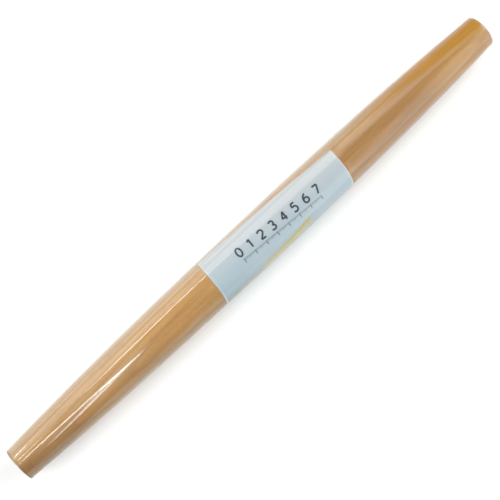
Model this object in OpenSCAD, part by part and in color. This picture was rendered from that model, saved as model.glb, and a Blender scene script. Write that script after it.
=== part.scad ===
// French rolling pin: one turned beech pin that tapers to both ends, a paper
// label wrapped askew round its middle, and a clear shrink film over both.
// The pin lies along X with +Z up. The origin is on the table, under the
// middle of the pin. All sizes are in millimetres.

/* [Pin] */
// Length of the wood from end face to end face
pin_length = 450; // [380:5:520]
// Diameter of the wood at its middle
mid_diameter = 36; // [32:0.5:45]
// Diameter that the taper reaches at each end, before the edge is rounded
end_diameter = 25.4; // [20:0.2:30]
// How late the taper sets in: 2 is a plain arc, more keeps the middle straighter
taper_power = 2.36; // [2:0.02:3.4]
// Radius of the eased edge round the left end face
left_edge_radius = 0.8; // [0.5:0.1:3]
// Radius of the rounded edge round the right end face
right_edge_radius = 2.2; // [0.5:0.1:3]

/* [Label] */
// Length of the label along the pin
label_length = 123; // [100:1:160]
// Height of the label round the pin
label_height = 90; // [60:1:94]
// Thickness of the label's paper
label_thickness = 0.15; // [0.1:0.01:0.3]
// Distance of the label's middle from the pin's middle, towards the right end
label_offset = 16.5; // [-30:0.5:30]
// Angle that the label is turned by, off square with the pin
label_skew = 4; // [-6:0.1:6]
// Angle round the pin, from the top, of the upper edge's middle
label_edge_angle = 46.5; // [0:0.5:90]

/* [Film] */
// Thickness of the shrunk film
film_thickness = 0.1; // [0.06:0.01:0.2]
// Diameter of the hole that the film leaves open on each end face
film_opening = 14; // [6:0.5:15]
// Length over which the film slopes down from the label to the wood
film_slope = 2; // [1:0.1:6]

/* [Fits] */
// Gap between the wood and the label on it
label_gap = 0.05; // [0.04:0.01:0.1]
// Gap between the film and what it covers
film_gap = 0.15; // [0.05:0.01:0.3]

/* [Hidden] */
$fn = 180;

half_length = pin_length / 2;
mid_radius = mid_diameter / 2;
end_radius = end_diameter / 2;

// Step between the stations of the outline along the pin
station_step = 8;
// Steps in each rounded edge and in each slope of the film
edge_steps = 8;
slope_steps = 6;
// Steps of the label's mesh along the pin and round it
label_steps_x = 8;
label_steps_y = 60;

// The label lies on the wood, and the film clears both
label_base = label_gap;
label_top = label_base + label_thickness;
film_base = film_gap;
film_over_label = label_top + film_gap;

// Half the length of pin that the skewed label covers, with a margin for the film
label_reach = label_length / 2 * cos(label_skew) + label_height / 2 * abs(sin(label_skew));
film_margin = 0.5;
film_flat = label_reach + film_margin;

// Radius of the wood at x, and how far its surface leans towards the nearer end there
function wood_radius(x) =
    mid_radius - (mid_radius - end_radius) * pow(abs(x) / half_length, taper_power);
function lean(x) =
    sign(x) * atan(taper_power * (mid_radius - end_radius) / half_length
                   * pow(abs(x) / half_length, taper_power - 1));

// A point of the long outline at x, lifted off the wood square to its surface
function lifted(x, lift) =
    [wood_radius(x) + lift * cos(lean(x)), x + lift * sin(lean(x))];

// The rounded edge at one end, lifted off the wood: side is -1 left and 1 right
function edge_centre_x(side, radius) = side * (half_length - radius);
function edge_join_x(side, radius) =
    edge_centre_x(side, radius) + radius * sin(lean(edge_centre_x(side, radius)));
function edge_centre_r(side, radius) =
    wood_radius(edge_join_x(side, radius)) - radius * cos(lean(edge_centre_x(side, radius)));
function edge_arc(side, radius, lift) = [
    for (i = [0:edge_steps])
        let (turn = i / edge_steps * (90 - abs(lean(edge_centre_x(side, radius)))))
        [edge_centre_r(side, radius) + (radius + lift) * sin(turn),
         edge_centre_x(side, radius) + side * (radius + lift) * cos(turn)]
];
function backwards(list) = [for (i = [len(list) - 1:-1:0]) list[i]];

// Even stations between two places, leaving out both
function between(from, to) =
    let (steps = max(1, ceil((to - from) / station_step)))
    [for (i = [1:steps - 1]) from + (to - from) * i / steps];

// Stations along the pin: close together where the film slopes off the label
function slope_stations(side) = [
    for (i = [0:slope_steps])
        label_offset + side * (film_flat + film_slope * i / slope_steps)
];
stations = concat(
    between(edge_join_x(-1, left_edge_radius), label_offset - film_flat - film_slope),
    backwards(slope_stations(-1)),
    between(label_offset - film_flat, label_offset + film_flat),
    slope_stations(1),
    between(label_offset + film_flat + film_slope, edge_join_x(1, right_edge_radius))
);

// How far the film's slope has come down at x: 0 on the label and 1 on the wood
function slope_share(x) =
    min(1, max(0, (abs(x - label_offset) - film_flat) / film_slope));
function smooth(share) = share * share * (3 - 2 * share);

// Lift of the film's inner face at x
function film_lift(x) =
    film_over_label + (film_base - film_over_label) * smooth(slope_share(x));

// The axis lies at the height that lets the widest place touch the table
axis_height = film_thickness
    + max([for (x = stations) lifted(x, film_lift(x))[0]]);

// Outline of the pin from its axis, lifted by extra off the wood, or off the
// film's inner face where it follows the film
module half_outline(extra, follows_film) {
    end_lift = extra + (follows_film ? film_base : 0);
    polygon(concat(
        [[0, -half_length - end_lift]],
        edge_arc(-1, left_edge_radius, end_lift),
        [for (x = stations) lifted(x, extra + (follows_film ? film_lift(x) : 0))],
        backwards(edge_arc(1, right_edge_radius, end_lift)),
        [[0, half_length + end_lift]]
    ));
}

// Turns a piece that was made round Z on to the pin's own axis, along X
module along_pin() {
    translate([0, 0, axis_height]) rotate([0, 90, 0]) children();
}

module wooden_pin() {
    color("#c99a63")
        along_pin()
            rotate_extrude() half_outline(0, false);
}

// A place on the label, as a share of its length and height, laid on the pin
// at a lift off the wood. The unrolled label is turned by its skew about its
// own middle, and its height runs down the near side.
label_radius = wood_radius(label_offset) + label_base;
function label_place(along, down, lift) =
    let (flat_x = (along - 0.5) * label_length,
         flat_y = -down * label_height,
         middle_y = -label_height / 2,
         turned_x = flat_x * cos(label_skew) + (flat_y - middle_y) * sin(label_skew),
         turned_y = -flat_x * sin(label_skew) + (flat_y - middle_y) * cos(label_skew),
         x = label_offset + turned_x,
         around = label_edge_angle + (turned_y + middle_y) / label_radius * 180 / PI,
         place = lifted(x, lift))
    [place[1], place[0] * sin(around), axis_height + place[0] * cos(around)];

// Numbers of the label's points: rows of the inner face, then of the outer one
label_row = label_steps_x + 1;
label_face = label_row * (label_steps_y + 1);
function label_point(i, j, face) = face * label_face + j * label_row + i;

// One cell of the inner face (0) or the outer face (1) as two triangles, split
// along the diagonal that turns least round the pin
function label_cell(i, j, face) =
    let (a = label_point(i, j, face), b = label_point(i + 1, j, face),
         c = label_point(i + 1, j + 1, face), d = label_point(i, j + 1, face),
         halves = label_skew >= 0 ? [[a, b, d], [b, c, d]] : [[a, b, c], [a, c, d]])
    face == 0 ? halves : [for (half = halves) backwards(half)];

// A strip of the label's cut edge, from one point pair to the next
function label_edge(i1, j1, i2, j2) =
    let (a = label_point(i1, j1, 0), b = label_point(i2, j2, 0),
         c = label_point(i2, j2, 1), d = label_point(i1, j1, 1))
    [[d, c, b], [d, b, a]];

module paper_label() {
    points = [
        for (face = [0, 1], j = [0:label_steps_y], i = [0:label_steps_x])
            label_place(i / label_steps_x, j / label_steps_y,
                        face == 0 ? label_base : label_top)
    ];
    faces = [
        for (face = [0, 1], j = [0:label_steps_y - 1], i = [0:label_steps_x - 1])
            each label_cell(i, j, face)
    ];
    long_edges = [
        for (i = [0:label_steps_x - 1])
            each concat(label_edge(i, 0, i + 1, 0),
                        label_edge(i + 1, label_steps_y, i, label_steps_y))
    ];
    short_edges = [
        for (j = [0:label_steps_y - 1])
            each concat(label_edge(0, j + 1, 0, j),
                        label_edge(label_steps_x, j, label_steps_x, j + 1))
    ];
    color("#cfdde3")
        polyhedron(points, concat(faces, long_edges, short_edges), 10);
}

module shrink_film() {
    color([0.93, 0.96, 0.98, 0.3])
        along_pin()
            rotate_extrude()
                difference() {
                    half_outline(film_thickness, true);
                    half_outline(0, true);
                    // The film stops short of the middle of both end faces
                    translate([0, -pin_length])
                        square([film_opening / 2, 2 * pin_length]);
                }
}

wooden_pin();
paper_label();
shrink_film();
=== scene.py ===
import logging
from dataclasses import dataclass, field
from enum import Enum
from typing import Optional, Union

import bpy
import numpy as np
from bpy.types import Material, Node, NodeSocket, Object, World
from mathutils import Matrix, Vector

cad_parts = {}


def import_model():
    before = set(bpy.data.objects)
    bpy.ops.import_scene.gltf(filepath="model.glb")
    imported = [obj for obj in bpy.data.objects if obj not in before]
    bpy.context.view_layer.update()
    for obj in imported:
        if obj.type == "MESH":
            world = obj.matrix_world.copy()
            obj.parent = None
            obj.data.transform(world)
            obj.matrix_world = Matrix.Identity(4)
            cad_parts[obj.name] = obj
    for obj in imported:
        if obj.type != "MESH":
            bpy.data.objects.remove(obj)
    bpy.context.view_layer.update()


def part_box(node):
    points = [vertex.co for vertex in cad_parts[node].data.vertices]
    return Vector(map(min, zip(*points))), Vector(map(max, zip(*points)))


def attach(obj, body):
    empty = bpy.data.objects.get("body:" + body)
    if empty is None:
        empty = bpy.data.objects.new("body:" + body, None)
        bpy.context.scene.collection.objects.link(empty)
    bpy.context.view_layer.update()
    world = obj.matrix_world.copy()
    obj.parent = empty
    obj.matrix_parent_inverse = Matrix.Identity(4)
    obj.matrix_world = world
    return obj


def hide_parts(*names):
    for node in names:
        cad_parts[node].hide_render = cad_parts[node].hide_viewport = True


LOG = logging.getLogger("rolling_pin")
MM = 0.001
BODY = "root"
LINE_POINTS = 14
ARC_POINTS = 40
Number = Union["Value", float]
Colour = Union[tuple, NodeSocket]


class MixKind(Enum):
    """Ways in which one colour is laid on another."""

    MIX = "MIX"
    MULTIPLY = "MULTIPLY"


class Outline(Enum):
    """Outlines of a flat light."""

    SHARP = "RECTANGLE"
    FADING = "ELLIPSE"


def linear(red: float, green: float, blue: float) -> tuple[float, float, float, float]:
    """Turns a colour of 0 to 255 per channel, as a screen shows it, into scene-linear values."""
    share = np.array([red, green, blue]) / 255.0
    low = share / 12.92
    high = ((share + 0.055) / 1.055) ** 2.4
    return (*(float(c) for c in np.where(share <= 0.04045, low, high)), 1.0)


class Value:
    """A number in a shader, which takes part in Python arithmetic."""

    def __init__(self, shade: "Shade", socket: NodeSocket) -> None:
        self.shade = shade
        self.socket = socket

    def math(self, operation: str, *others: Number, first: Optional[Number] = None) -> "Value":
        """Feeds a Math node.

        Args:
            operation: The Math node's operation.
            others: What follows the first operand.
            first: The first operand, where it isn't this value.

        Returns:
            The node's result.
        """
        operands = ([first] if first is not None else []) + [self] + list(others)
        node = self.shade.node("ShaderNodeMath", {"operation": operation}, dict(enumerate(operands)))
        return Value(self.shade, node.outputs[0])

    def __add__(self, other: Number) -> "Value":
        """Adds a number or another value."""
        return self.math("ADD", other)

    def __sub__(self, other: Number) -> "Value":
        """Takes a number or another value away."""
        return self.math("SUBTRACT", other)

    def __rsub__(self, other: Number) -> "Value":
        """Takes this value away from a number."""
        return self.math("SUBTRACT", first=other)

    def __mul__(self, other: Number) -> "Value":
        """Multiplies by a number or another value."""
        return self.math("MULTIPLY", other)

    def __truediv__(self, other: Number) -> "Value":
        """Divides by a number or another value."""
        return self.math("DIVIDE", other)

    def __pow__(self, other: Number) -> "Value":
        """Raises to a power."""
        return self.math("POWER", other)

    def __neg__(self) -> "Value":
        """Gives the value with its sign changed."""
        return 0.0 - self

    __radd__ = __add__
    __rmul__ = __mul__

    def absolute(self) -> "Value":
        """Gives the value without its sign."""
        return self.math("ABSOLUTE")

    def fraction(self) -> "Value":
        """Gives the part of the value after its whole number."""
        return self.math("FRACT")

    def ramp(self, start: float, end: float) -> "Value":
        """Gives 0 at start and 1 at end, on a smooth curve between them and level beyond."""
        settings = {"interpolation_type": "SMOOTHSTEP"}
        inputs = {"Value": self, "From Min": start, "From Max": end}
        return Value(self.shade, self.shade.node("ShaderNodeMapRange", settings, inputs).outputs["Result"])

    def fall(self, start: float, end: float) -> "Value":
        """Gives 1 at start and 0 at end, where a ramp gives 0 and 1."""
        return 1.0 - self.ramp(start, end)


class Shade:
    """The node tree of a material or of the surroundings, built by calls."""

    def __init__(self, owner: Union[Material, World]) -> None:
        self.owner = owner
        self.owner.use_nodes = True
        self.tree = self.owner.node_tree
        self.tree.nodes.clear()

    @classmethod
    def named(cls, name: str) -> "Shade":
        """Starts a new material."""
        return cls(bpy.data.materials.new(name))

    def node(self, kind: str, settings: Optional[dict] = None, inputs: Optional[dict] = None) -> Node:
        """Adds a node.

        Args:
            kind: The node's type.
            settings: Its properties and their values.
            inputs: Its sockets, by name or number, and what each is set or linked to.

        Returns:
            The node.
        """
        made = self.tree.nodes.new(kind)
        for key, setting in (settings or {}).items():
            setattr(made, key, setting)
        for key, source in (inputs or {}).items():
            socket = source.socket if isinstance(source, Value) else source
            if isinstance(socket, NodeSocket):
                self.tree.links.new(socket, made.inputs[key])
            else:
                made.inputs[key].default_value = socket
        return made

    def place(self) -> tuple[Value, Value, Value]:
        """Gives the three object coordinates, in millimetres."""
        coords = self.node("ShaderNodeTexCoord").outputs["Object"]
        apart = self.node("ShaderNodeSeparateXYZ", inputs={0: coords})
        return tuple(Value(self, apart.outputs[i]) * (1 / MM) for i in range(3))

    def vector(self, x: Number, y: Number, z: Number) -> NodeSocket:
        """Joins three numbers into a vector."""
        return self.node("ShaderNodeCombineXYZ", inputs={0: x, 1: y, 2: z}).outputs[0]

    def noise(self, at: NodeSocket, detail: float, rough: float = 0.5) -> Value:
        """Gives smooth noise of about 0 to 1 at a vector."""
        inputs = {"Vector": at, "Scale": 1.0, "Detail": detail, "Roughness": rough}
        return Value(self, self.node("ShaderNodeTexNoise", {"noise_dimensions": "3D"}, inputs).outputs[0])

    def mix(self, share: Number, under: Colour, over: Colour, kind: MixKind = MixKind.MIX) -> NodeSocket:
        """Lays one colour on another.

        Args:
            share: How much of the upper colour shows, from 0 to 1.
            under: The lower colour.
            over: The upper colour.
            kind: How they mix.

        Returns:
            The mixed colour's socket.
        """
        settings = {"data_type": "RGBA", "blend_type": kind.value, "clamp_factor": True}
        inputs = {"Factor": share, 6: under, 7: over}
        return self.node("ShaderNodeMix", settings, inputs).outputs[2]

    def bump(self, height: Value, depth: float, strength: float = 1.0) -> NodeSocket:
        """Turns a height of 0 to 1 into a bumped normal, with a depth in millimetres."""
        inputs = {"Height": height, "Distance": depth * MM, "Strength": strength}
        return self.node("ShaderNodeBump", inputs=inputs).outputs[0]

    def surface(self, inputs: dict) -> NodeSocket:
        """Adds the main surface shader with the inputs that it is given."""
        return self.node("ShaderNodeBsdfPrincipled", inputs=inputs).outputs[0]

    def close(self, surface: NodeSocket) -> Union[Material, World]:
        """Links the finished surface to the output and gives the material, or the surroundings."""
        kind = "World" if isinstance(self.owner, World) else "Material"
        self.node(f"ShaderNodeOutput{kind}", inputs={"Surface": surface})
        return self.owner


@dataclass(frozen=True)
class Grain:
    """A smooth noise, with its own number of waves per millimetre along the pin and across it."""

    along: float
    across: float
    detail: float
    rough: float = 0.5

    def at(self, s: Shade, x: Value, y: Value, z: Value) -> Value:
        """Gives the noise at a place."""
        return s.noise(s.vector(x * self.along, y * self.across, z * self.across), self.detail, self.rough)


@dataclass(frozen=True)
class BeechFinish:
    """Pale beech, sanded and bare, as a solid block that the pin was turned from.

    The growth rings are round a pith line that lies beside the pin, so the
    sides show long lines and the ends show arcs. Painted shade darkens the
    tone in patches along the pin, on its near side and round the ends' edges,
    and painted light pales the far side and lays a sheen along the top of the
    left end. Places along the pin and across it are in millimetres from its
    middle and its axis, and places round it are in radians from the top.
    """

    axis_z: float
    half_length: float
    pith_y: float = 34.0
    pith_z: float = -58.0
    pith_slope: float = 0.012
    pith_distance: float = 67.0
    ring_step: float = 2.3
    ring_sway: float = 9.0
    heart_sway: float = 8.0
    wander: Grain = Grain(0.006, 0.03, 3.0)
    fibre: Grain = Grain(0.05, 4.2, 4.0, 0.65)
    broad: Grain = Grain(0.012, 0.16, 2.0)
    cloud: Grain = Grain(0.07, 0.28, 3.0)
    streak: Grain = Grain(0.014, 0.9, 3.0, 0.6)
    pore: Grain = Grain(0.35, 11.0, 1.0)
    pale: tuple = linear(205, 159, 91)
    deep: tuple = linear(187, 137, 72)
    warm: tuple = linear(186, 138, 62)
    rosy: tuple = linear(202, 146, 83)
    fleck: tuple = linear(130, 84, 46)
    heart: tuple = linear(191, 134, 0)
    late_wood: tuple = (0.80, 0.74, 0.66, 1.0)
    # Painted shade and light, in order: the dark tone of the painted shade map and of the ends' edges, the
    # near side's painted shade at the left end and along the rest, the far side's painted light, and a
    # painted sheen on top of the left end.
    shade_umber: tuple = (0.55, 0.49, 0.43, 1.0)
    olive_shade: tuple = (0.77, 0.79, 0.12, 1.0)
    dun_shade: tuple = (0.75, 0.80, 0.54, 1.0)
    far_side_light: tuple = linear(194, 179, 154)
    painted_sheen: tuple = linear(216, 190, 155)

    def rings(self, x: Value, y: Value, up: Value, wander: Value) -> tuple[Value, Value, Value]:
        """Lays the growth rings round the pith.

        Args:
            x: Place along the pin.
            y: Place across it, more on the far side.
            up: Height over its axis.
            wander: A slow noise that bends the rings.

        Returns:
            The share of dark late wood, the distance from the pith, and the
            way round it in millimetres.
        """
        away_y = y - self.pith_y + (wander - 0.5) * self.ring_sway
        away_z = up - self.pith_z + x * self.pith_slope
        radius = (away_y * away_y + away_z * away_z) ** 0.5
        around = away_y.math("ARCTAN2", away_z) * self.pith_distance
        ring = (radius / self.ring_step + wander * 2.0).fraction()
        return ring.ramp(0.35, 0.95) * ring.fall(0.95, 1.0), radius, around

    def heartwood(self, x: Value, y: Value, wander: Value) -> Value:
        """Gives the share of orange heartwood, on the far side of the right half and wider at its tip."""
        reach = (x - 150.0).math("MAXIMUM", 0.0) * 0.08
        return x.ramp(70.0, 185.0) * (y + reach + (wander - 0.5) * self.heart_sway).ramp(4.0, 9.0)

    def painted_shade_share(self, x: Value, y: Value, heart: Value) -> Value:
        """Gives the share of painted shade: most at the left end, then in the right half beside the
        heartwood, and also on the near side and high on the far side towards the right tip.
        """
        left = (-x).ramp(140.0, 222.0) * (1.0 - y.ramp(-7.5, 0.5) * 0.8)
        right = x.ramp(30.0, 95.0) * (1.0 - x.ramp(145.0, 195.0) * 0.85)
        right = right * (1.0 - heart) * (1.0 - y.ramp(0.0, 8.0) * 0.3)
        low = (-y).ramp(6.0, 17.0) * (1.0 - x.ramp(0.0, 90.0) * 0.8)
        high = x.ramp(60.0, 120.0) * y.ramp(7.0, 13.0)
        tip = x.ramp(165.0, 215.0) * y.ramp(5.0, 9.5)
        return left * 0.88 + right * 0.42 + low * 0.3 + high * 0.4 + tip * 0.2 + y.fall(4.0, 14.0) * 0.12

    def sides(self, s: Shade, tone: Colour, x: Value, y: Value, up: Value) -> Colour:
        """Paints light and shade on the skin by the side that it faces.

        Args:
            s: The material's nodes.
            tone: The wood's colour so far.
            x: Place along the pin.
            y: Place across it, more on the far side.
            up: Height over its axis.

        Returns:
            The colour with painted shade on the near side, greener at the left
            end, painted light that pales the far side, and a painted sheen along the
            top of the left end.
        """
        turn = y.math("ARCTAN2", up)
        skin = ((y * y + up * up) ** 0.5).ramp(7.0, 12.0) * turn.absolute().fall(1.7, 2.5)
        # Painted shade: the near side is darkened, greener towards the left end.
        near_shade = (-turn).ramp(0.7, 1.08) * skin * x.fall(10.0, 100.0)
        near_shade_tone = s.mix((-x).ramp(120.0, 200.0), self.dun_shade, self.olive_shade)
        tone = s.mix(near_shade, tone, near_shade_tone, MixKind.MULTIPLY)
        # Painted light: the far side is lightened to a pale tone, less on the right half.
        right_light_share = 1.0 - x.ramp(60.0, 160.0) * (1.0 - turn.ramp(0.95, 1.15) * 0.7)
        far_light_share = turn.ramp(1.0, 1.3) * 0.25 + 0.65
        tone = s.mix(turn.ramp(0.2, 1.3) * skin * right_light_share * far_light_share, tone, self.far_side_light)
        # Painted sheen: a pale band along the top of the left end.
        lower_turn = turn - (-x).ramp(150.0, 180.0) * 0.5
        top = lower_turn.ramp(-0.75, -0.35) * turn.fall(0.35, 0.6)
        return s.mix((-x).ramp(95.0, 125.0) * skin * top * 0.2, tone, self.painted_sheen)

    def material(self) -> Material:
        """Builds the wood from its rings, fibres, ray flecks and changes of tone, with painted light and
        shade on it and painted shade round the ends' edges.
        """
        s = Shade.named("beech_wood")
        x, y, z = s.place()
        up = z - self.axis_z
        wander = self.wander.at(s, x, y, up)
        late, radius, around = self.rings(x, y, up, wander)
        fibre = self.fibre.at(s, x, y, up)
        ray = s.noise(s.vector(x * 0.5, around * 4.0, radius * 0.16), detail=1.0).ramp(0.58, 0.7)
        pore = self.pore.at(s, x, y, up).ramp(0.58, 0.72)
        heart = self.heartwood(x, y, wander)
        tone = s.mix(self.broad.at(s, x, y, up).ramp(0.3, 0.72), self.pale, self.deep)
        tone = s.mix(self.cloud.at(s, x, y, up).ramp(0.42, 0.68) * 0.4, tone, self.rosy)
        tone = s.mix(x.ramp(60.0, 215.0) * 0.55, tone, self.warm)
        tone = s.mix(heart * 0.95, tone, self.heart)
        # Painted shade: the wood is darkened where the painted shade map says.
        tone = s.mix(self.painted_shade_share(x, y, heart), tone, self.shade_umber, MixKind.MULTIPLY)
        tone = self.sides(s, tone, x, y, up)
        face = x.absolute().ramp(self.half_length - 0.2, self.half_length - 0.05)
        grain_line = late * (0.5 + face * 0.5) + fibre.ramp(0.35, 0.75) * 0.4
        tone = s.mix(grain_line, tone, self.late_wood, MixKind.MULTIPLY)
        # Painted shade: the wood darkens over the rounded edge at each end, less on the end face itself.
        arris = x.absolute().ramp(self.half_length - 2.4, self.half_length - 0.4)
        tone = s.mix(arris * 0.8 - face * 0.25, tone, self.shade_umber, MixKind.MULTIPLY)
        streak = self.streak.at(s, x, y, up).ramp(0.42, 0.7)
        tone = s.mix(streak * 0.3, tone, self.late_wood, MixKind.MULTIPLY)
        tone = s.mix(ray * (0.42 - face * 0.22) + pore * 0.2, tone, self.fleck)
        height = fibre * 0.5 + (1.0 - ray) * 0.3 + (1.0 - pore) * 0.3
        return s.close(s.surface({
            "Base Color": tone,
            "Roughness": 0.5 + fibre * 0.16 - late * 0.06,
            "Normal": s.bump(height, 0.03, 0.5),
        }))


@dataclass(frozen=True)
class PaperFinish:
    """Coated paper printed in pale blue, with a white margin at both short edges.

    The paper goes from its upper tint to its lower one down the label, with a
    faint cloud in it, and painted shade darkens it towards the label's low side.
    """

    length: float
    height: float
    margin: float = 1.1
    margin_blur: float = 0.15
    cloud_sway: float = 18.0
    upper: tuple = linear(190, 191, 190)
    lower: tuple = linear(166, 186, 195)
    # Painted shade: the next two tints darken the paper towards the label's low side.
    shaded: tuple = linear(140, 160, 167)
    lowest_shade: tuple = linear(126, 140, 124)
    white: tuple = linear(192, 199, 201)

    def material(self) -> Material:
        """Builds the paper from its tints, its margins and a fine tooth."""
        s = Shade.named("label_paper")
        apart = s.node("ShaderNodeSeparateXYZ", inputs={0: s.node("ShaderNodeUVMap").outputs[0]})
        along = Value(s, apart.outputs[0]) * self.length
        down = Value(s, apart.outputs[1]) * self.height
        cloud = s.noise(s.vector(along * 0.03, down * 0.05, 0.0), detail=3.0)
        tooth = s.noise(s.vector(along * 3.0, down * 3.0, 5.0), detail=3.0, rough=0.7)
        tint = s.mix((down + cloud * self.cloud_sway).ramp(6.0, 50.0), self.upper, self.lower)
        # Painted shade: the paper darkens towards the label's low side, and more along its last few
        # millimetres.
        tint = s.mix(down.ramp(27.0, 44.0), tint, self.shaded)
        tint = s.mix(down.ramp(36.0, 43.0), tint, self.lowest_shade)
        tint = s.mix(tooth.ramp(0.45, 0.8) * 0.1, tint, self.white)
        printed = self.length / 2 - self.margin
        edge = (along - self.length / 2).absolute().ramp(printed - self.margin_blur, printed)
        tint = s.mix(edge, tint, self.white)
        return s.close(s.surface({
            "Base Color": tint,
            "Roughness": 0.42 + tooth * 0.12,
            "Normal": s.bump(tooth, 0.008, 0.4),
        }))


@dataclass(frozen=True)
class InkFinish:
    """Matt printing ink in one colour, a little uneven where the paper's tooth took less of it."""

    name: str
    colour: tuple
    thin: tuple

    def material(self) -> Material:
        """Builds the ink with its fine unevenness."""
        s = Shade.named(self.name)
        x, y, z = s.place()
        patch = Grain(2.5, 2.5, 4.0, 0.7).at(s, x, y, z)
        tint = s.mix(patch.ramp(0.45, 0.8) * 0.6, self.colour, self.thin)
        return s.close(s.surface({
            "Base Color": tint,
            "Roughness": 0.4 + patch * 0.15,
            "Normal": s.bump(patch, 0.006, 0.3),
        }))


@dataclass(frozen=True)
class FilmFinish:
    """Clear shrink film: seen through where it is met square on, and a mirror at a glancing angle.

    Its drawn surface, its creases and the puckers on both arrises bend what
    it mirrors.
    """

    axis_z: float
    half_length: float
    clear: tuple = (0.985, 0.99, 0.995, 1.0)
    least_mirror: float = 0.04
    glancing_mirror: float = 0.6
    glancing_power: float = 5.0

    def material(self) -> Material:
        """Builds the film from a see-through and a mirror layer, shared out by the glancing angle."""
        s = Shade.named("clear_film")
        x, y, z = s.place()
        up = z - self.axis_z
        turn = y.math("ARCTAN2", up)
        draw = s.noise(s.vector(x * 0.045, turn * 2.4, 0.0), detail=3.0, rough=0.6)
        crease = s.noise(s.vector(x * 0.012, turn * 9.0, 3.0), detail=2.0)
        pucker = s.noise(s.vector(x * 0.02, turn * 13.0, 7.0), detail=1.0)
        smear = Grain(0.05, 0.2, 4.0).at(s, x, y, up)
        past = x.absolute()
        arris = past.ramp(self.half_length - 2.5, self.half_length - 0.8)
        arris = arris * past.fall(self.half_length - 0.3, self.half_length)
        normal = s.bump(draw * 0.5 + crease * 0.2 + pucker * arris * 2.0, 0.07, 0.2)
        gloss = s.surface({
            "Base Color": (1.0, 1.0, 1.0, 1.0),
            "Metallic": 1.0,
            "Roughness": 0.08 + smear * 0.04 + arris * 0.25,
            "Normal": normal,
        })
        through = s.node("ShaderNodeBsdfTransparent", inputs={"Color": self.clear}).outputs[0]
        weight = s.node("ShaderNodeLayerWeight", inputs={"Blend": 0.5, "Normal": normal})
        glance = Value(s, weight.outputs["Facing"]) ** self.glancing_power
        share = glance * self.glancing_mirror + self.least_mirror
        return s.close(s.node("ShaderNodeMixShader", inputs={0: share, 1: through, 2: gloss}).outputs[0])


@dataclass(frozen=True)
class FloorFinish:
    """A plain pale floor, matt, with a barely visible cloudiness."""

    tint: tuple = (0.95, 0.95, 0.95, 1.0)
    cloud: tuple = (0.92, 0.92, 0.92, 1.0)

    def material(self) -> Material:
        """Builds the floor's near-white."""
        s = Shade.named("floor")
        x, y, z = s.place()
        patch = Grain(0.004, 0.004, 3.0).at(s, x, y, z)
        return s.close(s.surface({"Base Color": s.mix(patch, self.tint, self.cloud), "Roughness": 0.85}))


@dataclass(frozen=True)
class Surroundings:
    """What the film mirrors: soft white walls, lit unevenly, round a darker ceiling.

    A direction's y runs from the near wall to the far one, and its x from
    past the left end to past the right one. The far wall has a rail across it
    that is in shade, and the ground is pale. A wedge-shaped window of cooler
    light hangs overhead, on the left, and comes to a point over the pin.
    """

    ceiling: float = 0.2
    low_wall: float = 0.85
    corner_shade: float = 0.85
    far_wall: float = 1.75
    rail_shade: float = 0.75
    near_wall: float = 1.25
    ground: float = 1.3
    window_y: float = -0.29
    window_tip: float = -0.044
    window_spread: float = 2.2
    window_dim: float = 0.6
    window_bright: float = 9.0
    wall_tint: tuple = (0.8, 0.8, 0.8, 1.0)
    window_tint: tuple = (0.46, 0.70, 0.8, 1.0)

    def far(self, x: Value, y: Value, z: Value) -> Value:
        """Gives the far wall's share of light. Its lower edge drops to the right, where it ends."""
        rail = z.ramp(0.0, 0.14) * z.fall(0.38, 0.5)
        drop = x.math("MAXIMUM", 0.0) * 1.1 + (-x).ramp(0.08, 0.18) * 0.1
        lit = (y + drop).ramp(0.5, 0.72) * (x + y * 0.15).fall(0.38, 0.46)
        return lit * (1.0 - rail * self.rail_shade)

    def near(self, x: Value, y: Value) -> Value:
        """Gives the near wall's share of light, which reaches higher further right, to the wall's end."""
        reach = (x - 0.26).math("MAXIMUM", 0.0) * 3.0 - y
        return reach.ramp(0.5, 0.88) * x.ramp(0.02, 0.28) * x.fall(0.5, 0.7)

    def window(self, x: Value, y: Value) -> Value:
        """Gives the window's light: inside a wedge that opens from its tip, and brighter near the tip."""
        half = (self.window_tip - x) * self.window_spread
        inside = (half - (y - self.window_y).absolute()).ramp(0.0, 0.025)
        return inside * (x.ramp(-0.1, -0.062) * self.window_bright + self.window_dim) * x.ramp(-0.23, -0.14)

    def shade(self, x: Value, y: Value, z: Value) -> Value:
        """Gives how dark the walls' corners are: the far right one with its foot, and the near left one."""
        right_corner = x.ramp(0.1, 0.4) * y.ramp(0.1, 0.6) * z.ramp(0.0, 0.4)
        right_foot = x.ramp(0.3, 0.38) * y.ramp(0.4, 0.7) * z.ramp(-0.05, 0.02)
        near_left = x.fall(0.0, 0.3) * (-y).ramp(0.0, 0.5) * z.ramp(0.0, 0.18)
        return (right_corner + near_left).math("MAXIMUM", right_foot) * self.corner_shade

    def world(self) -> World:
        """Builds the brightness of each direction from ramps over its x, y and z."""
        s = Shade(bpy.data.worlds.new("studio"))
        way = s.node("ShaderNodeTexCoord").outputs["Generated"]
        apart = s.node("ShaderNodeSeparateXYZ", inputs={0: way})
        x, y, z = (Value(s, apart.outputs[i]) for i in range(3))
        walls = z.absolute().fall(0.1, 0.75) * (1.0 - self.shade(x, y, z)) * self.low_wall
        walls = walls + self.far(x, y, z) * self.far_wall + self.near(x, y) * self.near_wall
        overhead = self.window(x, y) * z.ramp(0.0, 0.3)
        below = (-z).ramp(0.0, 0.03)
        light = (walls + self.ceiling + overhead) * (1.0 - below) + below * self.ground
        tint = s.mix(overhead.ramp(0.0, 1.0), self.wall_tint, self.window_tint)
        return s.close(s.node("ShaderNodeBackground", inputs={"Color": tint, "Strength": light}).outputs[0])


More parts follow.
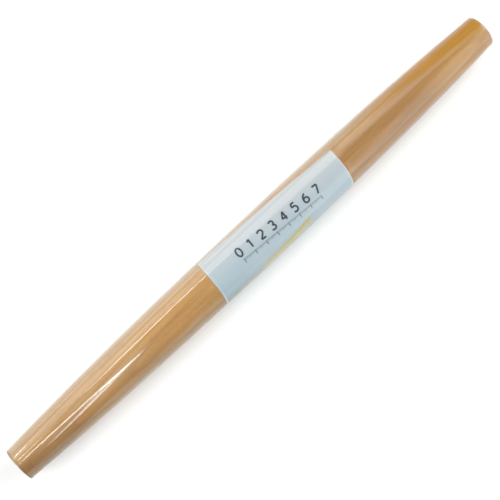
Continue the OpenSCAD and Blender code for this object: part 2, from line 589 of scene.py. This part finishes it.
def add_object(name: str, points: np.ndarray, faces: np.ndarray, material: Material) -> Object:
    """Makes a mesh object from arrays.

    Args:
        name: The object's name.
        points: One row of x, y, z in millimetres for each vertex.
        faces: One row of four vertex numbers for each face, or three and a repeat of the last.
        material: What it is made of.

    Returns:
        The object, with smooth faces.
    """
    mesh = bpy.data.meshes.new(name)
    used = np.ones(faces.shape, bool)
    used[:, 3] = faces[:, 2] != faces[:, 3]
    corners = used.sum(axis=1)
    mesh.vertices.add(len(points))
    mesh.vertices.foreach_set("co", (points * MM).ravel())
    mesh.loops.add(int(corners.sum()))
    mesh.loops.foreach_set("vertex_index", faces[used])
    mesh.polygons.add(len(faces))
    mesh.polygons.foreach_set("loop_start", np.cumsum(corners) - corners)
    mesh.polygons.foreach_set("use_smooth", np.ones(len(faces), bool))
    mesh.materials.append(material)
    mesh.update(calc_edges=True)
    mesh.validate()
    made = bpy.data.objects.new(name, mesh)
    bpy.context.scene.collection.objects.link(made)
    return made


def grid_faces(rows: int, columns: int, wrap_rows: bool = False, wrap_columns: bool = False) -> np.ndarray:
    """Gives the quads between neighbouring points of a grid numbered row by row."""
    i, j = np.meshgrid(
        np.arange(rows if wrap_rows else rows - 1),
        np.arange(columns if wrap_columns else columns - 1),
        indexing="ij",
    )
    below = (i + 1) % rows
    beside = (j + 1) % columns
    quads = [i * columns + j, below * columns + j, below * columns + beside, i * columns + beside]
    return np.stack(quads, axis=-1).reshape(-1, 4)


def keep(piece: Object, slot: str, *nodes: str) -> None:
    """Fastens a piece to the body, hides the solids that it stands for, and reports it."""
    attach(piece, BODY)
    if nodes:
        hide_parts(*nodes)
    LOG.info("%s: %d faces", piece.name, len(piece.data.polygons))


@dataclass(frozen=True)
class Taper:
    """The turned outline of the wood, in millimetres, with the pin's axis along X.

    The steps count the points across an end face and round its edge, and the
    clearance keeps the taper's own points off that edge.
    """

    half_length: float
    mid_radius: float
    axis_z: float
    end_radius: float = 12.7
    power: float = 2.36
    left_edge: float = 0.8
    right_edge: float = 2.2
    face_steps: int = 24
    edge_steps: int = 12
    clearance: float = 0.3

    def radius(self, x: np.ndarray) -> np.ndarray:
        """Radius at x: the middle radius less a power of the distance from the middle."""
        share = np.abs(x / self.half_length) ** self.power
        return self.mid_radius - (self.mid_radius - self.end_radius) * share

    def lean(self, x: np.ndarray) -> np.ndarray:
        """Angle that the surface's normal leans by towards the nearer end, in radians."""
        share = np.abs(x / self.half_length) ** (self.power - 1)
        slope = self.power * (self.mid_radius - self.end_radius) / self.half_length * share
        return np.sign(x) * np.arctan(slope)

    def end(self, side: int, inner: float) -> tuple[np.ndarray, np.ndarray]:
        """Outline of one end, from its face to where the taper starts.

        Args:
            side: -1 for the left end and 1 for the right one.
            inner: Radius at which the face begins.

        Returns:
            Points of x and radius, and the unit normals there: straight out on
            the face, then round an arc that ends square to the taper.
        """
        edge = self.left_edge if side < 0 else self.right_edge
        centre_x = side * (self.half_length - edge)
        lean = abs(float(self.lean(centre_x)))
        join_x = centre_x + side * edge * np.sin(lean)
        centre_r = float(self.radius(join_x)) - edge * np.cos(lean)
        face = np.linspace(inner, centre_r, self.face_steps, endpoint=False)
        turn = np.linspace(0.0, np.pi / 2 - lean, self.edge_steps)
        face_points = np.stack([np.full_like(face, side * self.half_length), face], axis=1)
        arc_x = centre_x + side * edge * np.cos(turn)
        arc_points = np.stack([arc_x, centre_r + edge * np.sin(turn)], axis=1)
        face_normals = np.tile([float(side), 0.0], (len(face), 1))
        arc_normals = np.stack([side * np.cos(turn), np.sin(turn)], axis=1)
        return np.vstack([face_points, arc_points]), np.vstack([face_normals, arc_normals])

    def outline(self, stations: np.ndarray, inner: float) -> tuple[np.ndarray, np.ndarray]:
        """Whole outline from the left face over the taper to the right face.

        Args:
            stations: Places along the pin for the taper's points.
            inner: Radius at which both faces begin.

        Returns:
            Points of x and radius, and the unit normals there.
        """
        left, left_normals = self.end(-1, inner)
        right, right_normals = self.end(1, inner)
        after, before = left[-1, 0] + self.clearance, right[-1, 0] - self.clearance
        x = stations[(stations > after) & (stations < before)]
        body = np.stack([x, self.radius(x)], axis=1)
        normals = np.stack([np.sin(self.lean(x)), np.cos(self.lean(x))], axis=1)
        points = np.vstack([left, body, right[::-1]])
        return points, np.vstack([left_normals, normals, right_normals[::-1]])

    def turned(self, x: np.ndarray, radius: np.ndarray, angle: np.ndarray) -> np.ndarray:
        """Points at x and radius, turned round the axis by an angle from the top towards +Y."""
        y = radius * np.sin(angle)
        z = self.axis_z + radius * np.cos(angle)
        return np.stack(np.broadcast_arrays(x, y, z), axis=-1)


@dataclass(frozen=True)
class Wood:
    """The turned pin, with its mesh's step along it, its columns and its innermost ring's radius."""

    taper: Taper
    step: float = 2.0
    columns: int = 180
    pole_radius: float = 0.5

    def mesh(self, material: Material) -> Object:
        """Turns the outline once round the axis, with one point at each pole."""
        stations = np.arange(-self.taper.half_length, self.taper.half_length, self.step)
        outline, _ = self.taper.outline(stations, self.pole_radius)
        angle = np.linspace(0.0, 2 * np.pi, self.columns, endpoint=False)
        ring = self.taper.turned(outline[:, :1], outline[:, 1:], angle[None, :])
        points = ring.reshape(-1, 3)
        half, axis_z = self.taper.half_length, self.taper.axis_z
        poles = np.array([[-half, 0.0, axis_z], [half, 0.0, axis_z]])
        faces = grid_faces(len(outline), self.columns, wrap_columns=True)
        first = np.arange(self.columns)
        following = (first + 1) % self.columns
        last = (len(outline) - 1) * self.columns
        left, right = np.full_like(first, len(points)), np.full_like(first, len(points) + 1)
        fans = [np.stack([first, following, left, left], axis=1),
                np.stack([last + following, last + first, right, right], axis=1)]
        return add_object("turned_pin", np.vstack([points, poles]), np.vstack([faces, *fans]), material)


@dataclass(frozen=True)
class Label:
    """The paper label, laid askew on the wood, and its print. Sizes are in millimetres."""

    taper: Taper
    length: float = 123.0
    height: float = 90.0
    thickness: float = 0.15
    offset: float = 16.5
    skew: float = np.radians(4.0)
    edge_angle: float = np.radians(46.5)
    gap: float = 0.05
    columns: int = 160
    rows: int = 140
    ink_lift: float = 0.012
    ink_columns: int = 4

    def flat(self, along: np.ndarray, down: np.ndarray) -> tuple[np.ndarray, np.ndarray]:
        """Turns a place on the flat label by the skew about its middle, to x and a distance round."""
        across = along - self.length / 2
        rise = self.height / 2 - down
        x = self.offset + across * np.cos(self.skew) + rise * np.sin(self.skew)
        return x, -across * np.sin(self.skew) + rise * np.cos(self.skew) - self.height / 2

    def wrapped(self, along: np.ndarray, down: np.ndarray, lift: float) -> np.ndarray:
        """Lays a place on the label, in millimetres along and down it, on the pin.

        The distance round becomes an angle at the radius under the label's
        middle, and the lift is square to the wood.
        """
        x, around = self.flat(along, down)
        radius = float(self.taper.radius(self.offset)) + self.gap
        angle = self.edge_angle + around / radius
        lean = self.taper.lean(x)
        return self.taper.turned(x + lift * np.sin(lean), self.taper.radius(x) + lift * np.cos(lean), angle)

    def inside(self, x: np.ndarray, angle: np.ndarray) -> np.ndarray:
        """Distance inside the label's outline at x and an angle on the pin: below 0 outside it."""
        radius = float(self.taper.radius(self.offset)) + self.gap
        across = x - self.offset
        rise = (angle - self.edge_angle) * radius + self.height / 2
        along = across * np.cos(self.skew) - rise * np.sin(self.skew)
        up = across * np.sin(self.skew) + rise * np.cos(self.skew)
        return np.minimum(self.length / 2 - np.abs(along), self.height / 2 - np.abs(up))

    def mesh(self, material: Material) -> Object:
        """Lays an even grid of the flat label on the pin and gives it the paper's thickness."""
        places = np.linspace(0.0, self.length, self.columns), np.linspace(0.0, self.height, self.rows)
        along, down = np.meshgrid(*places, indexing="ij")
        points = self.wrapped(along, down, self.gap + self.thickness).reshape(-1, 3)
        faces = grid_faces(self.columns, self.rows)[:, ::-1]
        label = add_object("wrapped_label", points, faces, material)
        layer = label.data.uv_layers.new(name="flat")
        corners = np.zeros(len(label.data.loops), np.int32)
        label.data.loops.foreach_get("vertex_index", corners)
        shares = np.stack([along / self.length, down / self.height], axis=-1).reshape(-1, 2)
        layer.data.foreach_set("uv", shares[corners].ravel().astype(np.float32))
        solid = label.modifiers.new("paper", "SOLIDIFY")
        solid.thickness = self.thickness * MM
        solid.offset = -1.0
        return label

    def ribbons(self, name: str, strokes: list[np.ndarray], widths: list[np.ndarray],
                material: Material) -> Object:
        """Prints strokes on the label as thin ribbons.

        Args:
            name: The piece's name.
            strokes: For each stroke, its points along and down the label.
            widths: For each stroke, half its width at each point.
            material: The ink.

        Returns:
            One object that holds all the ribbons. Each is its path plus and
            minus the half width along the path's own normal.
        """
        points, faces, count = [], [], 0
        across = np.linspace(-1.0, 1.0, self.ink_columns)
        lift = self.gap + self.thickness + self.ink_lift
        for path, half in zip(strokes, widths):
            run = np.gradient(path, axis=0)
            normal = np.stack([-run[:, 1], run[:, 0]], axis=1) / np.linalg.norm(run, axis=1, keepdims=True)
            flat = path[:, None, :] + normal[:, None, :] * (half[:, None] * across)[:, :, None]
            points.append(self.wrapped(flat[..., 0], flat[..., 1], lift).reshape(-1, 3))
            faces.append(grid_faces(len(path), len(across))[:, ::-1] + count)
            count += len(points[-1])
        return add_object(name, np.vstack(points), np.vstack(faces), material)


def line(start: tuple[float, float], end: tuple[float, float]) -> np.ndarray:
    """Points of a straight stroke: start plus an even share of the way to end."""
    share = np.linspace(0.0, 1.0, LINE_POINTS)[:, None]
    return np.array(start) + share * (np.array(end) - np.array(start))


def arc(centre: tuple[float, float], radii: tuple[float, float], start: float, end: float) -> np.ndarray:
    """Points of an elliptic stroke: centre plus the radii times cosine and sine of an even turn."""
    turn = np.radians(np.linspace(start, end, ARC_POINTS))
    return np.stack([centre[0] + radii[0] * np.cos(turn), centre[1] + radii[1] * np.sin(turn)], axis=1)


@dataclass(frozen=True)
class Scale:
    """A plain centimetre scale, printed where the label has room, as numerals over ticks.

    Lengths and half widths of the ticks are those of whole, half and tenth
    centimetres. The digits are strokes in units of the numeral's height.
    """

    label: Label
    start_along: float = 27.0
    start_down: float = 19.7
    step: float = 10.0
    parts: int = 10
    numeral_height: float = 6.4
    numeral_middle: float = 0.3
    stroke: float = 0.68
    tick_gap: float = 2.2
    tick_lengths: tuple[float, float, float] = (3.4, 2.4, 1.5)
    tick_widths: tuple[float, float, float] = (0.28, 0.17, 0.17)
    digits: dict = field(default_factory=lambda: {
        0: [arc((0.3, 0.5), (0.3, 0.5), 0, 360)],
        1: [line((0.1, 0.78), (0.36, 1.0)), line((0.36, 1.0), (0.36, 0.0))],
        2: [arc((0.3, 0.71), (0.29, 0.29), 165, -38),
            line((0.53, 0.53), (0.0, 0.0)), line((0.0, 0.0), (0.6, 0.0))],
        3: [arc((0.28, 0.75), (0.26, 0.25), 150, -90), arc((0.28, 0.25), (0.3, 0.25), 90, -150)],
        4: [line((0.46, 1.0), (0.0, 0.3)), line((0.0, 0.3), (0.64, 0.3)), line((0.46, 1.0), (0.46, 0.0))],
        5: [line((0.55, 1.0), (0.1, 1.0)), line((0.1, 1.0), (0.06, 0.56)),
            arc((0.27, 0.32), (0.31, 0.32), 130, -145)],
        6: [arc((0.3, 0.3), (0.3, 0.3), 0, 360), arc((0.6, 0.35), (0.6, 0.65), 100, 178)],
        7: [line((0.0, 1.0), (0.6, 1.0)), line((0.6, 1.0), (0.2, 0.0))],
    })

    def mesh(self, material: Material) -> Object:
        """Sets each numeral over its long tick, with short ticks between them."""
        strokes, widths = [], []
        middle = [self.numeral_middle, 0.0]
        for number, shapes in self.digits.items():
            foot = np.array([self.start_along + number * self.step, self.start_down])
            for shape in shapes:
                strokes.append(foot + (shape - middle) * [self.numeral_height, -self.numeral_height])
                widths.append(np.full(len(shape), self.stroke))
        top = self.start_down + self.tick_gap
        for tick in range(self.parts * (len(self.digits) - 1) + 1):
            along = self.start_along + tick * self.step / self.parts
            rank = 0 if tick % self.parts == 0 else 1 if tick % (self.parts // 2) == 0 else 2
            strokes.append(line((along, top), (along, top + self.tick_lengths[rank])))
            widths.append(np.full(LINE_POINTS, self.tick_widths[rank]))
        return self.label.ribbons("printed_scale", strokes, widths, material)


@dataclass(frozen=True)
class GrainEar:
    """A generic ear of grain, printed low on the label: a bent stem, paired kernels and beards.

    Kernels and beards are given by their reach along the label, their spread
    to either side and their rise. Widths are half widths.
    """

    label: Label
    start_along: float = 16.0
    start_down: float = 41.5
    reach: float = 65.0
    rise: float = 9.0
    bend: float = 1.5
    pairs: int = 14
    first_pair: float = 0.32
    pair_step: float = 0.049
    kernel: tuple[float, float, float] = (5.0, 2.4, 0.7)
    kernel_bow: float = 1.0
    beard: tuple[float, float, float] = (5.5, 1.0, 0.8)
    stem_points: int = 90
    leaf_points: int = 16

    def stem(self, share: np.ndarray) -> np.ndarray:
        """A place on the stem: an even run along and up the label, bent down it by a low sine."""
        along = self.start_along + self.reach * share
        down = self.start_down - self.rise * share + self.bend * np.sin(np.pi * share)
        return np.stack([along, down], axis=-1)

    def mesh(self, material: Material) -> Object:
        """Draws the stem, then each kernel as a leaf shape with a beard at its tip."""
        share = np.linspace(0.0, 1.0, self.stem_points)
        strokes, widths = [self.stem(share)], [0.3 + 0.3 * (1 - share)]
        leaf = np.linspace(0.0, 1.0, self.leaf_points)
        swell = np.sin(np.pi * leaf)
        for pair in range(self.pairs):
            foot = self.stem(np.array(self.first_pair + self.pair_step * pair))
            for side in (-1, 1):
                tip = foot + np.array([self.kernel[0], side * self.kernel[1] - self.kernel[2]])
                bow = np.stack([0 * leaf, side * self.kernel_bow * swell], axis=1)
                strokes.append(foot + leaf[:, None] * (tip - foot) + bow)
                widths.append(0.05 + 1.2 * swell ** 0.8)
                end = tip + np.array([self.beard[0], side * self.beard[1] - self.beard[2]])
                strokes.append(line(tuple(tip), tuple(end)))
                widths.append(np.linspace(0.14, 0.04, LINE_POINTS))
        return self.label.ribbons("printed_grain_ear", strokes, widths, material)


@dataclass(frozen=True)
class Film:
    """The clear shrink film: one thin skin that lies on the label and the wood.

    It comes down from the label to the wood over its slope, and is drawn in
    over both end faces, in small folds, to an opening with an uneven rim. The
    fine steps are where it crosses the label's short edges.
    """

    taper: Taper
    label: Label
    thickness: float = 0.04
    on_wood: float = 0.06
    on_label: float = 0.25
    opening: float = 7.0
    fold_height: float = 0.12
    slope: float = 6.0
    columns: int = 200
    step: float = 4.0
    fine_step: float = 0.45
    fine_reach: float = 7.0
    past_edge: float = 0.6
    face_margin: float = 2.5

    def stations(self) -> np.ndarray:
        """Places along the pin, close together where the film crosses the label's short edges."""
        half = self.taper.half_length
        near = np.arange(-self.fine_reach, self.fine_reach, self.fine_step)
        fine = [self.label.offset + side * self.label.length / 2 + near for side in (-1, 1)]
        return np.unique(np.round(np.concatenate([np.arange(-half, half, self.step), *fine]), 2))

    def lift(self, x: np.ndarray, angle: np.ndarray) -> np.ndarray:
        """Height of the film's inner face over the wood.

        Inside the label's outline it clears the paper, and outside it comes
        down to the wood over the slope. An angle counts from the label's
        upper edge: up to past_edge above it, and otherwise below it.
        """
        top = self.label.edge_angle + self.past_edge
        inside = self.label.inside(x, top - (top - angle) % (2 * np.pi))
        share = np.clip(1.0 + inside / self.slope, 0.0, 1.0)
        share = share * share * (3 - 2 * share)
        return self.on_wood + (self.on_label - self.on_wood) * share

    def folds(self, toward: np.ndarray, angle: np.ndarray) -> np.ndarray:
        """Height of the small folds where the film is drawn in over a face.

        Waves of whole numbers round the pin, as high as the square of the
        share of the way in to the opening.
        """
        waves = 0.5 + 0.24 * np.sin(11 * angle + 1.0) + 0.16 * np.sin(23 * angle)
        waves = waves + 0.1 * np.sin(37 * angle + 2.0)
        return self.fold_height * waves * toward ** 2

    def rim(self, toward: np.ndarray, angle: np.ndarray) -> np.ndarray:
        """How far the opening's uneven rim is off a circle, fading out towards the edge of the face."""
        waves = 0.35 * np.sin(2 * angle + 0.6) + 0.25 * np.sin(5 * angle + 2.0) + 0.15 * np.sin(9 * angle)
        return waves * toward

    def mesh(self, material: Material) -> Object:
        """Closes the outer and the inner face into one thin skin.

        The outline runs out along the outer face and back along the inner
        one. Every point is the wood's outline plus a lift on its normal, with
        folds and an uneven rim where it lies on a face.
        """
        outline, normals = self.taper.outline(self.stations(), self.opening)
        angle = np.linspace(0.0, 2 * np.pi, self.columns, endpoint=False)[None, :]
        on_face = np.abs(normals[:, :1]) > 0.999
        reach = self.taper.end_radius - self.face_margin - self.opening
        toward = np.where(on_face, np.clip(1.0 - (outline[:, 1:] - self.opening) / reach, 0.0, 1.0), 0.0)
        lift = self.lift(outline[:, :1], angle) + self.folds(toward, angle)
        walls = []
        for extra in (self.thickness, 0.0):
            x = outline[:, :1] + normals[:, :1] * (lift + extra)
            radius = outline[:, 1:] + normals[:, 1:] * (lift + extra) + self.rim(toward, angle)
            walls.append(self.taper.turned(x, radius, angle))
        skin = np.concatenate([walls[0], walls[1][::-1]])
        faces = grid_faces(len(skin), self.columns, True, True)
        return add_object("clear_film", skin.reshape(-1, 3), faces, material)


@dataclass(frozen=True)
class Glint:
    """A sharp highlight on the film, from one x (mm) and angle (degrees) to another, and its light."""

    name: str
    start_x: float
    start_angle: float
    end_x: float
    end_angle: float
    width: float
    power: float
    tint: tuple[float, float, float] = (0.92, 1.0, 1.0)


GLINTS = (
    Glint("upper_line", -238.0, -3.4, -128.0, -9.8, 0.12, 1.1),
    Glint("lower_line", -195.0, -23.6, -130.0, -13.2, 0.1, 0.8),
    Glint("spot", -146.0, -11.6, -119.0, -10.6, 0.17, 0.65, (0.6, 0.88, 1.0)),
    Glint("end_line", -238.0, 5.6, -207.0, 5.6, 0.1, 0.22),
    Glint("upper_end_line", -238.0, 20.6, -209.0, 20.6, 0.1, 0.25),
    Glint("band_edge", -158.0, 11.2, -40.0, 15.6, 0.09, 0.72),
)


@dataclass(frozen=True)
class SoftBox:
    """A wide soft light past one end of the pin: its place and size in metres, and its power in watts."""

    name: str
    at: tuple[float, float, float]
    size: tuple[float, float]
    power: float
    mirrored: bool = True


SOFT_BOXES = (
    SoftBox("left_box", (-2.0, 0.3, 1.4), (1.6, 1.6), 36.0),
    SoftBox("right_box", (2.0, -0.1, 1.4), (1.6, 1.6), 36.0),
    SoftBox("fill_box", (2.1, -0.3, 0.8), (2.4, 1.6), 26.0, mirrored=False),
)


@dataclass(frozen=True)
class Studio:
    """The camera at the photograph's angle, its lights and a pale floor. Sizes are in metres."""

    taper: Taper
    azimuth: float = np.radians(-43.70)
    elevation: float = np.radians(80.03)
    distance: float = 1.0
    lens: float = 102.2
    sensor: float = 36.0
    picture: float = 500.0
    middle_px: tuple[float, float] = (256.1, 241.8)
    light_distance: float = 1.4
    floor_reach: float = 1600.0
    floor_lines: int = 9

    def back(self) -> Vector:
        """Direction from the pin to the camera."""
        flat = np.cos(self.elevation)
        return Vector((np.sin(self.azimuth) * flat, -np.cos(self.azimuth) * flat, np.sin(self.elevation)))

    def centre(self) -> Vector:
        """The middle of the pin."""
        return Vector((0.0, 0.0, self.taper.axis_z * MM))

    def camera(self) -> None:
        """Sets the camera, with the shift that puts the pin's middle on its pixel."""
        data = bpy.data.cameras.new("camera")
        data.lens = self.lens
        data.sensor_width = self.sensor
        half = self.picture / 2
        data.shift_x = (half - self.middle_px[0]) / self.picture
        data.shift_y = (self.middle_px[1] - half) / self.picture
        camera = bpy.data.objects.new("camera", data)
        right = Vector((np.cos(self.azimuth), np.sin(self.azimuth), 0.0))
        upward = self.back().cross(right)
        turn = Matrix((right, upward, self.back())).transposed().to_4x4()
        camera.matrix_world = Matrix.Translation(self.centre() + self.back() * self.distance) @ turn
        bpy.context.scene.collection.objects.link(camera)
        bpy.context.scene.camera = camera

    def mirrored(self, x: float, angle: float) -> Vector:
        """Place of a light that the camera sees mirrored in the film at x (mm) and an angle (degrees).

        The way to it is twice the normal's share of the way to the camera,
        less that way itself.
        """
        turn = np.radians(angle)
        lean = float(self.taper.lean(x))
        point = Vector(self.taper.turned(x, float(self.taper.radius(x)), turn) * MM)
        normal = Vector((np.sin(lean), np.sin(turn) * np.cos(lean), np.cos(turn) * np.cos(lean)))
        view = (self.centre() + self.back() * self.distance - point).normalized()
        return point + (2 * normal.dot(view) * normal - view) * self.light_distance

    def box(self, name: str, at: Vector, size: tuple[float, float], power: float,
            along: Optional[Vector] = None, outline: Outline = Outline.SHARP,
            tint: tuple[float, float, float] = (1.0, 1.0, 1.0), mirrored: bool = True) -> None:
        """Hangs a flat light that points at the pin's middle.

        Args:
            name: The light's name.
            at: Where it hangs.
            size: Its length and width.
            power: Its power in watts.
            along: The direction of its length, where that matters.
            outline: Its outline.
            tint: The colour of its light.
            mirrored: Whether glossy surfaces show it.
        """
        data = bpy.data.lights.new(name, "AREA")
        data.shape = outline.value
        data.color = tint
        data.size, data.size_y = size
        data.energy = power
        light = bpy.data.objects.new(name, data)
        light.visible_glossy = mirrored
        away = (at - self.centre()).normalized()
        first = along if along is not None else Vector((1.0, 0.0, 0.0))
        first = (first - first.dot(away) * away).normalized()
        turn = Matrix((first, away.cross(first), away)).transposed().to_4x4()
        light.matrix_world = Matrix.Translation(at) @ turn
        bpy.context.scene.collection.objects.link(light)

    def glint(self, glint: Glint) -> None:
        """Hangs the light whose mirror image in the film is the glint."""
        first = self.mirrored(glint.start_x, glint.start_angle)
        last = self.mirrored(glint.end_x, glint.end_angle)
        size = ((last - first).length, glint.width)
        middle = (first + last) / 2
        self.box(glint.name, middle, size, glint.power, last - first, Outline.FADING, glint.tint)

    def lights(self) -> None:
        """Hangs the boxes past both ends, of which gloss doesn't show the last, and the glints' lights."""
        for soft in SOFT_BOXES:
            self.box(soft.name, Vector(soft.at), soft.size, soft.power, mirrored=soft.mirrored)
        for glint in GLINTS:
            self.glint(glint)
        bpy.context.scene.world = Surroundings().world()
        bpy.context.scene.view_settings.view_transform = "Standard"

    def floor(self) -> None:
        """Lays a wide grid of even squares at the height that the pin rests on."""
        edge = np.linspace(-self.floor_reach, self.floor_reach, self.floor_lines)
        x, y = np.meshgrid(edge, edge, indexing="ij")
        points = np.stack([x, y, np.zeros_like(x)], axis=-1).reshape(-1, 3)
        faces = grid_faces(self.floor_lines, self.floor_lines)
        floor = add_object("floor", points, faces, FloorFinish().material())


def main() -> None:
    """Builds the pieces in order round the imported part."""
    logging.basicConfig(level=logging.INFO, format="%(message)s")
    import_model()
    low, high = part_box("wooden_pin")
    taper = Taper(high.x / MM, (high.z - low.z) / 2 / MM, (high.z + low.z) / 2 / MM)
    label = Label(taper)
    slate = InkFinish("slate_ink", linear(50, 58, 67), linear(80, 90, 100))
    straw = InkFinish("straw_ink", linear(186, 170, 92), linear(198, 186, 124))
    beech = BeechFinish(taper.axis_z, taper.half_length)
    paper = PaperFinish(label.length, label.height)
    clear = FilmFinish(taper.axis_z, taper.half_length)
    keep(Wood(taper).mesh(beech.material()), "beech_wood", "wooden_pin")
    keep(label.mesh(paper.material()), "label_paper", "paper_label")
    keep(Scale(label).mesh(slate.material()), "label_paper")
    keep(GrainEar(label).mesh(straw.material()), "label_paper")
    keep(Film(taper, label).mesh(clear.material()), "clear_film", "shrink_film")
    studio = Studio(taper)
    studio.camera()
    studio.lights()
    studio.floor()


if __name__ == "__main__":
    main()
